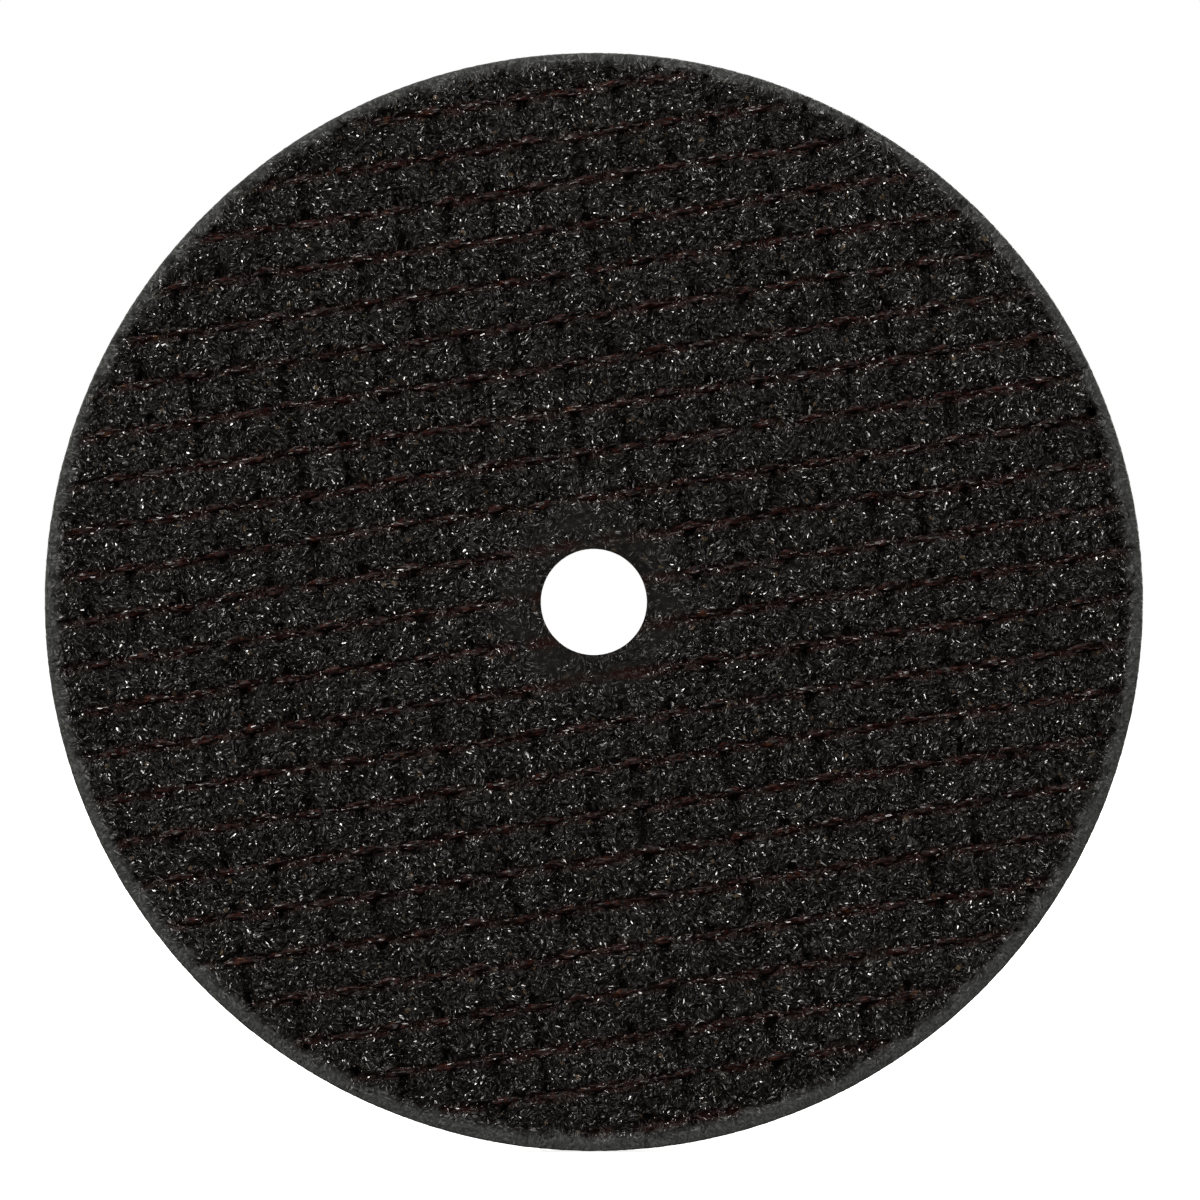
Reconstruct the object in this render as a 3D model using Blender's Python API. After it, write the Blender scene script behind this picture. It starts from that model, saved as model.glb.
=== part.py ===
"""Resin-bonded abrasive wheel with a leno-woven glass cloth pressed into each face.

Metres, +Z up. The wheel stands upright with its centre at the origin: it spins about
the Y axis, its bare front face looks along -Y and its paper blotter along +Y.
"""

import math
from collections import namedtuple

import bmesh
import bpy
from mathutils import Matrix, Vector

# The whole wheel.
WHEEL_DIAMETER = 0.100
BORE_DIAMETER = 0.0097
THICKNESS = 0.0032
EDGE_BEVEL = 0.00012
ROUND_SIDES = 96

# The bond line between touching pieces, and how far a cutter runs past a face.
BOND_GAP = 0.00005
CUTTER_OVERRUN = 0.001

# The flat land round the bore on the front face, where a flange presses.
HUB_LAND_DIAMETER = 0.017

# The glass cloth: a disc cut smaller than the wheel and pressed in slightly off centre.
CLOTH_RADIUS = 0.0485
CLOTH_OFFSET = Vector((-0.0003, 0.0, 0.0005))
YARN_THICKNESS = 0.00028
YARN_CHAMFER = 0.00009
LEAST_YARN_LENGTH = 0.004

# The rear face.
REAR_POCKET_RADIUS = 0.0488
REAR_CLOTH_THICKNESS = 0.00030
BLOTTER_THICKNESS = 0.00015
BLOTTER_DIAMETER = 0.064

# Depths along Y, from the front face to the rear.
FRONT_Y = -THICKNESS / 2
LENO_Y = FRONT_Y + 0.00002 + YARN_THICKNESS / 2
FILL_Y = LENO_Y + YARN_THICKNESS + BOND_GAP
REAR_Y = THICKNESS / 2
BLOTTER_FRONT_Y = REAR_Y - BLOTTER_THICKNESS
REAR_CLOTH_REAR_Y = BLOTTER_FRONT_Y - BOND_GAP
REAR_CLOTH_FRONT_Y = REAR_CLOTH_REAR_Y - REAR_CLOTH_THICKNESS
REAR_POCKET_Y = REAR_CLOTH_FRONT_Y - BOND_GAP

WHEEL_RADIUS = WHEEL_DIAMETER / 2
BORE_RADIUS = BORE_DIAMETER / 2
HUB_LAND_RADIUS = HUB_LAND_DIAMETER / 2

# One direction of the cloth. The yarns run at angle in the XZ plane, first_offset is one
# yarn's distance from the wheel's centre, and halves names the two parts of a yarn that
# the hub land divides. Leno yarns are pairs of twisted strands, and fill yarns run behind.
YarnSet = namedtuple("YarnSet", "kind angle pitch first_offset width y halves")
LENO = YarnSet("leno", math.radians(8.8), 0.004094, 0.00131, 0.00085, LENO_Y, ("left", "right"))
FILL = YarnSet("fill", math.radians(99.6), 0.004226, -0.00114, 0.00100, FILL_Y, ("lower", "upper"))


def clear_scene():
    for thing in list(bpy.data.objects):
        bpy.data.objects.remove(thing, do_unlink=True)


def make_material(name, colour, roughness):
    material = bpy.data.materials.new(name)
    material.use_nodes = True
    shader = material.node_tree.nodes["Principled BSDF"]
    shader.inputs["Base Color"].default_value = (*colour, 1.0)
    shader.inputs["Roughness"].default_value = roughness
    shader.inputs["Metallic"].default_value = 0.0
    return material


def add_object(name, shape, material=None):
    """Turns a bmesh into a named object with outward faces."""
    bmesh.ops.recalc_face_normals(shape, faces=shape.faces)
    mesh = bpy.data.meshes.new(name)
    shape.to_mesh(mesh)
    shape.free()
    if material:
        mesh.materials.append(material)
    piece = bpy.data.objects.new(name, mesh)
    bpy.context.scene.collection.objects.link(piece)
    return piece


def shade_round(piece):
    piece.data.shade_smooth()
    piece.data.set_sharp_from_angle(angle=math.radians(30))


def add_cutter(name, shape):
    cutter = add_object(name, shape)
    cutter.hide_render = True
    cutter.display_type = "WIRE"
    return cutter


def cut(piece, cutter):
    boolean = piece.modifiers.new(cutter.name, "BOOLEAN")
    boolean.operation = "DIFFERENCE"
    boolean.solver = "EXACT"
    boolean.object = cutter


def round_solid(outline):
    """A solid of revolution round the Y axis, closed by a flat cap at each end.

    The outline is a list of (radius, y) points, from the front cap to the rear cap.
    """
    shape = bmesh.new()
    rings = []
    for radius, y in outline:
        turns = [math.tau * side / ROUND_SIDES for side in range(ROUND_SIDES)]
        spots = [(radius * math.cos(turn), y, radius * math.sin(turn)) for turn in turns]
        rings.append([shape.verts.new(spot) for spot in spots])
    for near, far in zip(rings, rings[1:]):
        for i in range(ROUND_SIDES):
            shape.faces.new((near[i - 1], near[i], far[i], far[i - 1]))
    shape.faces.new(rings[0])
    shape.faces.new(reversed(rings[-1]))
    return shape


def annular_disc(name, outer_radius, front_y, rear_y, material):
    """A flat disc with the wheel's bore through it."""
    inner, outer = (BORE_RADIUS, outer_radius)
    outline = [(inner, front_y), (outer, front_y), (outer, rear_y), (inner, rear_y)]
    shape = bmesh.new()
    corners = [shape.verts.new((radius, y, 0.0)) for radius, y in outline]
    edges = [shape.edges.new((corners[i - 1], corners[i])) for i in range(len(corners))]
    bmesh.ops.spin(
        shape,
        geom=corners + edges,
        cent=(0, 0, 0),
        axis=(0, 1, 0),
        angle=math.tau,
        steps=ROUND_SIDES,
        use_merge=True,
    )
    piece = add_object(name, shape, material)
    shade_round(piece)


def yarn_spans(yarns, offset):
    """The stretches of one straight yarn that lie in the cloth and clear of the hub land.

    Each is a (start, end) pair along the yarn, from the point nearest the wheel's centre.
    """
    along = Vector((math.cos(yarns.angle), 0.0, math.sin(yarns.angle)))
    across = Vector((-along.z, 0.0, along.x))
    outer_edge = abs(offset - CLOTH_OFFSET.dot(across)) + yarns.width / 2
    if outer_edge >= CLOTH_RADIUS:
        return []
    half_chord = math.sqrt(CLOTH_RADIUS**2 - outer_edge**2)
    if 2 * half_chord < LEAST_YARN_LENGTH:
        return []
    middle = CLOTH_OFFSET.dot(along)
    start, end = middle - half_chord, middle + half_chord
    inner_edge = max(abs(offset) - yarns.width / 2, 0.0)
    keep_out = HUB_LAND_RADIUS + 2 * BOND_GAP
    if inner_edge >= keep_out:
        return [(start, end)]
    half_gap = math.sqrt(keep_out**2 - inner_edge**2)
    return [(start, -half_gap), (half_gap, end)]


def laid_yarns(yarns):
    """(number, offset, spans) of each yarn of one direction, counted across the wheel."""
    reach = math.ceil(WHEEL_RADIUS / yarns.pitch)
    offsets = [yarns.first_offset + step * yarns.pitch for step in range(-reach, reach + 1)]
    laid = [(offset, yarn_spans(yarns, offset)) for offset in offsets]
    present = [(offset, spans) for offset, spans in laid if spans]
    return [(number, *yarn) for number, yarn in enumerate(present, start=1)]


def add_bar(shape, section, start, end, place):
    """Adds a straight closed bar of the given (y, z) section to a bmesh, along X before place."""
    near = [shape.verts.new(place @ Vector((start, y, z))) for y, z in section]
    far = [shape.verts.new(place @ Vector((end, y, z))) for y, z in section]
    shape.faces.new(near)
    shape.faces.new(reversed(far))
    for i in range(len(section)):
        shape.faces.new((near[i], near[i - 1], far[i - 1], far[i]))


def yarn_section(width):
    """A flat section with chamfered edges, centred on the yarn's axis."""
    half_width, half_thick = width / 2, YARN_THICKNESS / 2
    flat_width, flat_thick = half_width - YARN_CHAMFER, half_thick - YARN_CHAMFER
    quarter = [(half_thick, flat_width), (flat_thick, half_width)]
    upper = quarter + [(-y, z) for y, z in reversed(quarter)]
    return upper + [(y, -z) for y, z in reversed(upper)]


def build_yarns(yarns, material):
    """One object for each stretch of yarn, with its origin at the stretch's middle."""
    turn = Matrix.Rotation(-yarns.angle, 4, "Y")
    for number, offset, spans in laid_yarns(yarns):
        name = f"front_{yarns.kind}_yarn_{number:02d}"
        names = [name] if len(spans) == 1 else [f"{name}_{half}" for half in yarns.halves]
        for yarn_name, (start, end) in zip(names, spans):
            shape = bmesh.new()
            half_length = (end - start) / 2
            section = yarn_section(yarns.width)
            add_bar(shape, section, -half_length, half_length, Matrix.Identity(4))
            yarn = add_object(yarn_name, shape, material)
            yarn.rotation_euler = (0.0, -yarns.angle, 0.0)
            yarn.location = turn @ Vector(((start + end) / 2, yarns.y, offset))


def channel_cutter(yarns):
    """The channels that one direction of yarns presses into the front face, as one cutter."""
    turn = Matrix.Rotation(-yarns.angle, 4, "Y")
    half_width = yarns.width / 2 + BOND_GAP
    floor = yarns.y + YARN_THICKNESS / 2 + BOND_GAP
    mouth = FRONT_Y - CUTTER_OVERRUN
    shape = bmesh.new()
    for _, offset, spans in laid_yarns(yarns):
        section = [
            (mouth, offset - half_width),
            (mouth, offset + half_width),
            (floor, offset + half_width),
            (floor, offset - half_width),
        ]
        for start, end in spans:
            add_bar(shape, section, start - BOND_GAP, end + BOND_GAP, turn)
    return add_cutter(f"{yarns.kind}_channels", shape)


def build_core(material):
    """The pressed abrasive body: grooved by the front cloth, and recessed for the rear one."""
    rim_rear_y = BLOTTER_FRONT_Y
    outline = [
        (WHEEL_RADIUS - EDGE_BEVEL, FRONT_Y),
        (WHEEL_RADIUS, FRONT_Y + EDGE_BEVEL),
        (WHEEL_RADIUS, rim_rear_y - EDGE_BEVEL),
        (WHEEL_RADIUS - EDGE_BEVEL, rim_rear_y),
    ]
    core = add_object("abrasive_core", round_solid(outline), material)
    beyond = THICKNESS / 2 + CUTTER_OVERRUN
    bore = round_solid([(BORE_RADIUS, -beyond), (BORE_RADIUS, beyond)])
    pocket = round_solid([(REAR_POCKET_RADIUS, REAR_POCKET_Y), (REAR_POCKET_RADIUS, beyond)])
    cut(core, add_cutter("bore_cutter", bore))
    cut(core, add_cutter("rear_pocket_cutter", pocket))
    cut(core, channel_cutter(LENO))
    cut(core, channel_cutter(FILL))


def main():
    clear_scene()
    build_core(make_material("black_abrasive", (0.014, 0.0135, 0.013), 0.42))
    build_yarns(LENO, make_material("resin_red_leno_yarn", (0.060, 0.014, 0.009), 0.45))
    build_yarns(FILL, make_material("dark_fill_yarn", (0.012, 0.009, 0.008), 0.60))
    annular_disc(
        "rear_glass_cloth",
        CLOTH_RADIUS,
        REAR_CLOTH_FRONT_Y,
        REAR_CLOTH_REAR_Y,
        make_material("resin_brown_glass_cloth", (0.045, 0.022, 0.014), 0.55),
    )
    annular_disc(
        "rear_paper_blotter",
        BLOTTER_DIAMETER / 2,
        BLOTTER_FRONT_Y,
        REAR_Y,
        make_material("grey_blotter_paper", (0.20, 0.19, 0.18), 0.85),
    )


main()
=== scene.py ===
"""Looks of the cloth-reinforced abrasive wheel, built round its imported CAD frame.

The CAD yarns and grooves say where everything goes. Each cloth yarn gets twisted strands
of its own, and the abrasive body a crust of grain, resin and grooves as real geometry.
"""

import math
from collections import namedtuple

import bpy
import numpy as np
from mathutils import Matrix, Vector


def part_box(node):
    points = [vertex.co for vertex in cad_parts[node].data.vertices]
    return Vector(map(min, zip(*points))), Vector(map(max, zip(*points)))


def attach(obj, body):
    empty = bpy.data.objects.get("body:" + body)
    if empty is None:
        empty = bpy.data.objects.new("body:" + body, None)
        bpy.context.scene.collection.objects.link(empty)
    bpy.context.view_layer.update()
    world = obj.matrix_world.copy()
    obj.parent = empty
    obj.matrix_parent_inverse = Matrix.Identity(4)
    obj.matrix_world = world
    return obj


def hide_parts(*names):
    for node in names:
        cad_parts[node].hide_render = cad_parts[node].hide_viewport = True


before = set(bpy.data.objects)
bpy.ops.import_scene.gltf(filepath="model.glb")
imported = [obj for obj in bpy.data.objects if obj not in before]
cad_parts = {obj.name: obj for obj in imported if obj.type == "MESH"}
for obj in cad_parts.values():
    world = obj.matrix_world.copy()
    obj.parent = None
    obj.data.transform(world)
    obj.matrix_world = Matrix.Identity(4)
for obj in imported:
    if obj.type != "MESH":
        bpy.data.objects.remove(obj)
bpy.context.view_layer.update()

MM = 0.001

# Every random draw is one of these numbers past the seed.
SEED = 41
CORE_LATTICE, CORE_GRAIN, REAR_LATTICE, REAR_GRAIN, PAPER_LATTICE = 1, 2, 3, 4, 5
CORE_RIM_WALL, CORE_BORE_WALL, REAR_RIM_WALL = 100, 200, 300
PAPER_RIM_WALL, PAPER_BORE_WALL = 400, 410
LENO_FRAY, FILL_FRAY = 500, 600

# Smooth random patterns: how big their features are, and their number past the seed.
Pattern = namedtuple("Pattern", "cell number")
CLOTH_EDGE_WAVES = Pattern(1.6 * MM, 7)
CLOTH_EDGE_NICKS = Pattern(0.6 * MM, 17)
HUB_EDGE_WAVES = Pattern(4 * MM, 8)
YARN_WANDER = Pattern(6 * MM, 9)
GROOVE_PATCHES = Pattern(2.3 * MM, 10)
ROUGH_PATCHES = Pattern(1.7 * MM, 11)
LUMPS = Pattern(0.9 * MM, 12)
GROOVE_NICKS = Pattern(0.6 * MM, 13)
CRUMBS = Pattern(0.55 * MM, 14)
STAIN_PATCHES = Pattern(1.3 * MM, 15)
HUB_STREAKS = Pattern(2.2 * MM, 16)
DULL_PATCHES = Pattern(0.9 * MM, 18)
PAPER_WRINKLES = Pattern(1.1 * MM, 21)
PAPER_WAVES = Pattern(7 * MM, 22)
PAPER_PATCHES = Pattern(3 * MM, 23)
STRAND_WAVER = Pattern(1.2 * MM, 30)
WAVER_PATTERNS = 16
STRAND_LIFT = Pattern(2.5 * MM, 50)
FILL_LIFT = Pattern(3 * MM, 60)

# Sizes that the frame gives.
core_low, core_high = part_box("abrasive_core")
cloth_low, cloth_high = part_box("rear_glass_cloth")
blotter_low, blotter_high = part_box("rear_paper_blotter")
WHEEL_RADIUS = core_high.x
FRONT_Y = core_low.y
RIM_REAR_Y = core_high.y
CLOTH_RADIUS = cloth_high.x
BLOTTER_RADIUS = blotter_high.x

# The bore, and its sides where it is hidden behind the blotter.
BORE_RADIUS = 4.85 * MM
BORE_SIDES = 96

# The rear pieces are built facing -Y like the front, then mirrored: this is their face.
REAR_FACE_Y = -cloth_high.y - 0.06 * MM

# The crust of grain.
GRAIN_SPACING = 0.33 * MM
REAR_SPACING = 0.42 * MM
PAPER_SPACING = 0.55 * MM
GRAIN_JITTER = 0.34
GRAIN_HEIGHT = 0.085 * MM
LUMP_HEIGHT = 0.06 * MM
WANDER = 0.15 * MM
PILLOW_DEPTH = 0.06 * MM
EDGE_ROUNDING = 0.12 * MM
BAND_DEPTH = 0.10 * MM
FACE_RADIUS = WHEEL_RADIUS - EDGE_ROUNDING

# Where the weave fades out: into the band at the rim, and into the smooth ring at the hub.
CLOTH_CENTRE = np.array((-0.05, 0.26)) * MM
CLOTH_EDGE = 49.50 * MM
CLOTH_FADE = 1.25 * MM
HUB_SMOOTH_RADIUS = 9.0 * MM
HUB_BLEND = 4.0 * MM
HUB_WEAVE = 0.20
HUB_ROUGHNESS = 0.40
BAND_ROUGHNESS = 0.35

# The grooves over the yarns, each with a flat floor and sloping edges. A pair is for the
# fill yarns that a strand crosses high, and for those that it crosses low.
FILL_GROOVE_DEPTH = 0.38 * MM
FILL_GROOVE_FLAT = (0.28 * MM, 0.18 * MM)
FILL_GROOVE_EDGE = 0.34 * MM
HIGH_FILL_STRENGTH = 0.82
LOW_FILL_STRENGTHS = (1.0, 0.35)
GROOVE_RAGGEDNESS = 0.10 * MM
CROSSING_REACH = 0.80 * MM
LENO_GROOVE_DEPTH = 0.20 * MM
LENO_GROOVE_SHIFT = 0.09 * MM
LENO_GROOVE_FLATS = (0.24 * MM, 0.30 * MM)
LENO_GROOVE_EDGE = 0.18 * MM
CRUMB_HEIGHT = 0.25 * MM
CROSSING_CRUMBS = 0.7
STAIN_FLAT = 0.30 * MM
STAIN_EDGE = 0.36 * MM

# The dark pockets beside the crossings, in the same pairs.
POCKET_DEPTH = 0.75 * MM
POCKET_ABOVE_LENO = (-0.62 * MM, 0.58 * MM)
POCKET_HALF_HEIGHT = (0.22 * MM, 0.50 * MM)
POCKET_HALF_WIDTH = (0.30 * MM, 0.40 * MM)

# How dark the painted shade of a recess gets, from 0 to 1: the grooves and pockets are darkened in
# colour for the shade that falls in them. The last is the most that the random dull patches darken
# the grain.
GROOVE_PAINTED_SHADE = 0.50
POCKET_PAINTED_SHADE = 0.80
MOST_DULL = 0.45

# The splinters that each grain breaks into, and how far they tip the surface. The band at
# the rim and the smooth hub are calmer by a share.
GRAIN_CELL = 0.70 * MM
SPLINTER_SIZE = (0.43 * MM, 0.28 * MM, 0.095 * MM)
SPLINTER_TILT = 1.6
BAND_CALM = 0.68
HUB_CALM = 0.80
TAN_SPECK_CELL = 0.36 * MM
FINES_CELL = 0.24 * MM

# A strand's fibres and streaks, and the thin resin that lightens it in patches: more of it
# towards the rim.
FIBRE_SIZE = (0.50 * MM, 0.30 * MM, 0.12 * MM)
FIBRE_TILT = 1.35
STREAK_CELL = 0.45 * MM
THIN_PATCH_CELL = 1.5 * MM
THIN_FROM_RADIUS = 43.0 * MM
THIN_TO_RADIUS = 49.0 * MM
THIN_AT_RIM = 0.10

# The blotter paper.
PAPER_FIBRE_CELL = 0.8 * MM
SMUDGE_CELL = 3.5 * MM
PAPER_BUMP = 0.03 * MM

# The strands of the cloth. Depths are under the face.
REAR_TURN = math.radians(34)
STRAND_HALF_WIDTH = 0.31 * MM
STRAND_HALF_THICKNESS = 0.13 * MM
STRAND_SWING = 0.13 * MM
FRAY = 0.07 * MM
HUB_NEAR = 12 * MM
HUB_TAIL = 1.5 * MM
STRAND_MID_DEPTH = 0.43 * MM
OVER_RISE = 0.29 * MM
UNDER_MID_DEPTH = 0.46 * MM
UNDER_DROP = 0.36 * MM
WAVER = 0.07 * MM
LIFT = 0.03 * MM
LENO_LOBES, LENO_TWIST = 0.15, 0.9
FILL_LOBES, FILL_TWIST = 0.05, 0.7
STRAND_STEP = 0.32 * MM
UNDER_STEP = 0.60 * MM
END_SINK = 0.30 * MM
END_LENGTH = 2.0 * MM
STRAND_SIDES = 8
FILL_HALF_WIDTH = 0.48 * MM
FILL_HALF_THICKNESS = 0.12 * MM
FILL_DEPTH = 0.66 * MM

# Colours of a strand: dark, middle, bright, and where the resin is thin.
LENO_COLOURS = (
    (0.005, 0.0018, 0.0013),
    (0.019, 0.0045, 0.0033),
    (0.052, 0.0120, 0.0076),
    (0.125, 0.044, 0.016),
)
FILL_COLOURS = (
    (0.0015, 0.0012, 0.0010),
    (0.003, 0.002, 0.0017),
    (0.007, 0.0035, 0.0025),
    (0.014, 0.006, 0.003),
)

# Colours that the grain is blended with.
TAN_SPECK = (0.130, 0.088, 0.050, 1.0)
HUB_RESIN = (0.021, 0.0195, 0.0175, 1.0)
RED_STAIN = (0.026, 0.0062, 0.0042, 1.0)
# Painted shade: near black for the grooves and pockets, and a specular tint that dims their
# reflections. The random dull patches take the same blend.
RECESS_PAINTED_SHADE = (0.0010, 0.0008, 0.0008, 1.0)
RECESS_SHADED_SPECULAR = (0.16, 0.13, 0.12, 1.0)
PLAIN_SPECULAR = (1.0, 1.0, 1.0, 1.0)

# How bright the even fill round the wheel is, against the white that the camera sees.
WORLD_FILL = 0.03
SUN_IRRADIANCE = 0.74
SUN_ANGLE = math.radians(60)

# Soft boxes in front of the wheel: name, place, size and brightness. The rear has the same.
WARM_LIGHT = (1.0, 0.965, 0.92)
SOFT_BOXES = (
    ("key", (-0.60, -1.05, 1.20), (0.375, 0.20), 46),
    ("left", (-1.50, -0.90, 0.35), (0.175, 0.45), 42),
    ("right", (1.50, -1.00, 0.50), (0.175, 0.35), 25),
)

# The camera's lens, what it frames in wheel radii, and its aim right of and over the centre.
LENS = 200.0
SENSOR = 36.0
FRAME_WIDTH = 2.184 * WHEEL_RADIUS
AIM = (0.56 * MM, 0.18 * MM)
FLOOR_HALF_WIDTH = 30.0
FLOOR_GAP = 0.0001


def rng(number):
    return np.random.default_rng(SEED + number)


# ---------------------------------------------------------------- cloth layout

Direction = namedtuple("Direction", "along across offsets pitch")


def yarn_nodes(kind):
    return sorted(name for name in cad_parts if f"_{kind}_yarn_" in name)


def node_points(name):
    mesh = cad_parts[name].data
    points = np.empty(len(mesh.vertices) * 3, np.float32)
    mesh.vertices.foreach_get("co", points)
    return points.reshape(-1, 3).astype(float)


def yarn_line(name):
    """(start, end) of a CAD yarn's centre line, as points in the XZ plane."""
    flat = node_points(name)[:, [0, 2]]
    centre = (flat.min(0) + flat.max(0)) / 2
    along = np.linalg.svd(flat - flat.mean(0), full_matrices=False)[2][0]
    reach = (flat - centre) @ along
    centre = centre + along * (reach.max() + reach.min()) / 2
    half = (reach.max() - reach.min()) / 2
    return centre - along * half, centre + along * half


def read_direction(kind, upward):
    """The shared direction of one set of CAD yarns, and each yarn's offset across it."""
    lines = [yarn_line(name) for name in yarn_nodes(kind)]
    longest = max(lines, key=lambda line: np.linalg.norm(line[1] - line[0]))
    along = (longest[1] - longest[0]) / np.linalg.norm(longest[1] - longest[0])
    if along @ np.array(upward) < 0:
        along = -along
    across = np.array([-along[1], along[0]])
    middles = sorted(float((start + end) @ across / 2) for start, end in lines)
    offsets = [middles[0]]
    for middle in middles:
        if middle - offsets[-1] > MM:
            offsets.append(middle)
    pitch = (offsets[-1] - offsets[0]) / (len(offsets) - 1)
    return Direction(along, across, offsets, pitch)


LENO = read_direction("leno", (1.0, 0.0))
FILL = read_direction("fill", (0.0, 1.0))


def turned(direction, angle):
    """The same set of yarns, turned round the wheel's axis."""
    turn = np.array([[math.cos(angle), math.sin(angle)], [-math.sin(angle), math.cos(angle)]])
    return direction._replace(along=direction.along @ turn, across=direction.across @ turn)


REAR_LENO = turned(LENO, REAR_TURN)
REAR_FILL = turned(FILL, REAR_TURN)


def yarn_phase(points, direction):
    """How many pitches a point is from the first yarn of a direction: whole on a yarn."""
    return (points @ direction.across - direction.offsets[0]) / direction.pitch


def crossed_high(points, fill):
    """Whether the nearest fill yarn is one that the strands cross high: every second is."""
    return np.round(yarn_phase(points, fill)) % 2 == 1


def distance_to_yarn(points, direction):
    """The signed distance across a direction from its nearest yarn."""
    phase = yarn_phase(points, direction)
    return (phase - np.round(phase)) * direction.pitch


# ---------------------------------------------------------------- numeric helpers


def smoothstep(value):
    value = np.clip(value, 0.0, 1.0)
    return value * value * (3 - 2 * value)


def between(start, end, share):
    """The value that lies a share of the way from start to end."""
    return start + (end - start) * share


def fade(distance, flat, edge):
    """1 within flat of a line's middle, falling smoothly to 0 over the edge beyond."""
    return 1 - smoothstep((distance - flat) / edge)


def soft_noise(points, pattern, extra=0):
    """Smooth value noise in -1 to 1 over the XZ plane, with features about a cell wide."""
    table = rng(pattern.number + extra).uniform(-1, 1, (256, 256))
    spot = points / pattern.cell + 1000.0
    low = np.floor(spot).astype(int)
    share = smoothstep(spot - low)
    i, j = low[:, 0] % 255, low[:, 1] % 255
    near = between(table[i, j], table[i + 1, j], share[:, 0])
    far = between(table[i, j + 1], table[i + 1, j + 1], share[:, 0])
    return between(near, far, share[:, 1])


def make_mesh(name, points, triangles, smooth=False):
    mesh = bpy.data.meshes.new(name)
    mesh.vertices.add(len(points))
    mesh.vertices.foreach_set("co", np.asarray(points, np.float32).ravel())
    mesh.loops.add(triangles.size)
    mesh.loops.foreach_set("vertex_index", triangles.astype(np.int32).ravel())
    mesh.polygons.add(len(triangles))
    mesh.polygons.foreach_set("loop_start", np.arange(0, triangles.size, 3, dtype=np.int32))
    mesh.update(calc_edges=True)
    mesh.validate()
    if smooth:
        mesh.shade_smooth()
    else:
        mesh.shade_flat()
    return mesh


def add_piece(name, mesh, material):
    piece = bpy.data.objects.new(name, mesh)
    bpy.context.scene.collection.objects.link(piece)
    mesh.materials.append(material)
    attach(piece, "root")
    return piece


# ---------------------------------------------------------------- grain crust


def grain_lattice(inner, outer, spacing, number):
    """A jittered triangular lattice over a ring, with its edges drawn to the two circles."""
    rows = int(outer / (spacing * math.sqrt(3) / 2)) + 2
    columns = int(outer / spacing) + 2
    j, i = np.mgrid[-rows:rows + 1, -columns:columns + 1]
    x = (i + 0.5 * (j % 2)) * spacing
    z = j * spacing * math.sqrt(3) / 2
    points = np.stack([x.ravel(), z.ravel()], 1)
    index = np.arange(points.shape[0]).reshape(x.shape)
    a, b = index[:-1, :-1], index[:-1, 1:]
    c, d = index[1:, :-1], index[1:, 1:]
    even = (j[:-1, :-1] % 2 == 0)
    first = np.where(even[..., None], np.stack([a, b, c], -1), np.stack([a, d, c], -1))
    second = np.where(even[..., None], np.stack([b, d, c], -1), np.stack([a, b, d], -1))
    triangles = np.concatenate([first.reshape(-1, 3), second.reshape(-1, 3)])
    radius = np.hypot(points[:, 0], points[:, 1])
    inside = (radius < outer - 0.3 * spacing) & (radius > inner + 0.3 * spacing)
    triangles = triangles[inside[triangles].all(1)]
    used, triangles = np.unique(triangles, return_inverse=True)
    points, triangles = points[used], triangles.reshape(-1, 3)
    loops = rim_loops(triangles)
    rim = np.concatenate(loops)
    jitter = rng(number).uniform(-GRAIN_JITTER, GRAIN_JITTER, points.shape) * spacing
    jitter[rim] = 0
    points = points + jitter
    for loop in loops:
        turn = points[loop] / np.linalg.norm(points[loop], axis=1)[:, None]
        near_outer = np.hypot(*points[loop].T).mean() > (inner + outer) / 2
        points[loop] = turn * (outer if near_outer else inner)
    return points, triangles, sorted(loops, key=len)


def rim_loops(triangles):
    """The boundary loops of a triangle mesh, each as vertex numbers in order."""
    ends = np.concatenate([triangles[:, [0, 1]], triangles[:, [1, 2]], triangles[:, [2, 0]]])
    there = {(int(a), int(b)) for a, b in ends}
    onward = {a: b for a, b in there if (b, a) not in there}
    loops = []
    while onward:
        start, nearby = onward.popitem()
        loop = [start]
        while nearby != start:
            loop.append(nearby)
            nearby = onward.pop(nearby)
        loops.append(np.array(loop))
    return loops


def yarn_wander(points):
    """How far the yarns stray from straight lines."""
    return soft_noise(points, YARN_WANDER) * WANDER


def cloth_presence(points):
    """How far each point is inside the cloth's edge and outside the smooth hub, 0 to 1."""
    from_cloth = np.linalg.norm(points - CLOTH_CENTRE, axis=1)
    waves = soft_noise(points, CLOTH_EDGE_WAVES) * 0.30 * MM
    nicks = soft_noise(points, CLOTH_EDGE_NICKS) * 0.36 * MM
    at_rim = smoothstep((CLOTH_EDGE + waves + nicks - from_cloth) / CLOTH_FADE)
    from_hub = np.linalg.norm(points, axis=1) + soft_noise(points, HUB_EDGE_WAVES) * 1.2 * MM
    at_hub = smoothstep((from_hub - HUB_SMOOTH_RADIUS + HUB_BLEND / 2) / HUB_BLEND)
    return at_rim, at_hub


Weave = namedtuple("Weave", "to_fill above_leno to_leno high up_cell at_crossing patchy")


def weave_at(points, leno, fill):
    """Where each point lies in the weave.

    to_fill and to_leno are the distances from the middle of the nearest groove of each kind,
    above_leno is the signed distance from the leno yarn, high tells the fill yarns that are
    crossed high, up_cell runs 0 to 1 from one leno yarn to the next, at_crossing is 1 over a
    fill yarn, and patchy says how marked the weave is there.
    """
    wander = yarn_wander(points)
    ragged = soft_noise(points, GROOVE_NICKS) * GROOVE_RAGGEDNESS
    to_fill = np.abs(distance_to_yarn(points, fill) + wander + ragged)
    above_leno = distance_to_yarn(points, leno) + wander
    to_leno = np.abs(above_leno + LENO_GROOVE_SHIFT + ragged)
    at_crossing = np.exp(-((to_fill / CROSSING_REACH) ** 2))
    patchy = np.clip(0.92 + 0.75 * soft_noise(points, GROOVE_PATCHES), 0.2, 1.5)
    high, up_cell = crossed_high(points, fill), yarn_phase(points, leno) % 1
    return Weave(to_fill, above_leno, to_leno, high, up_cell, at_crossing, patchy)


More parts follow.
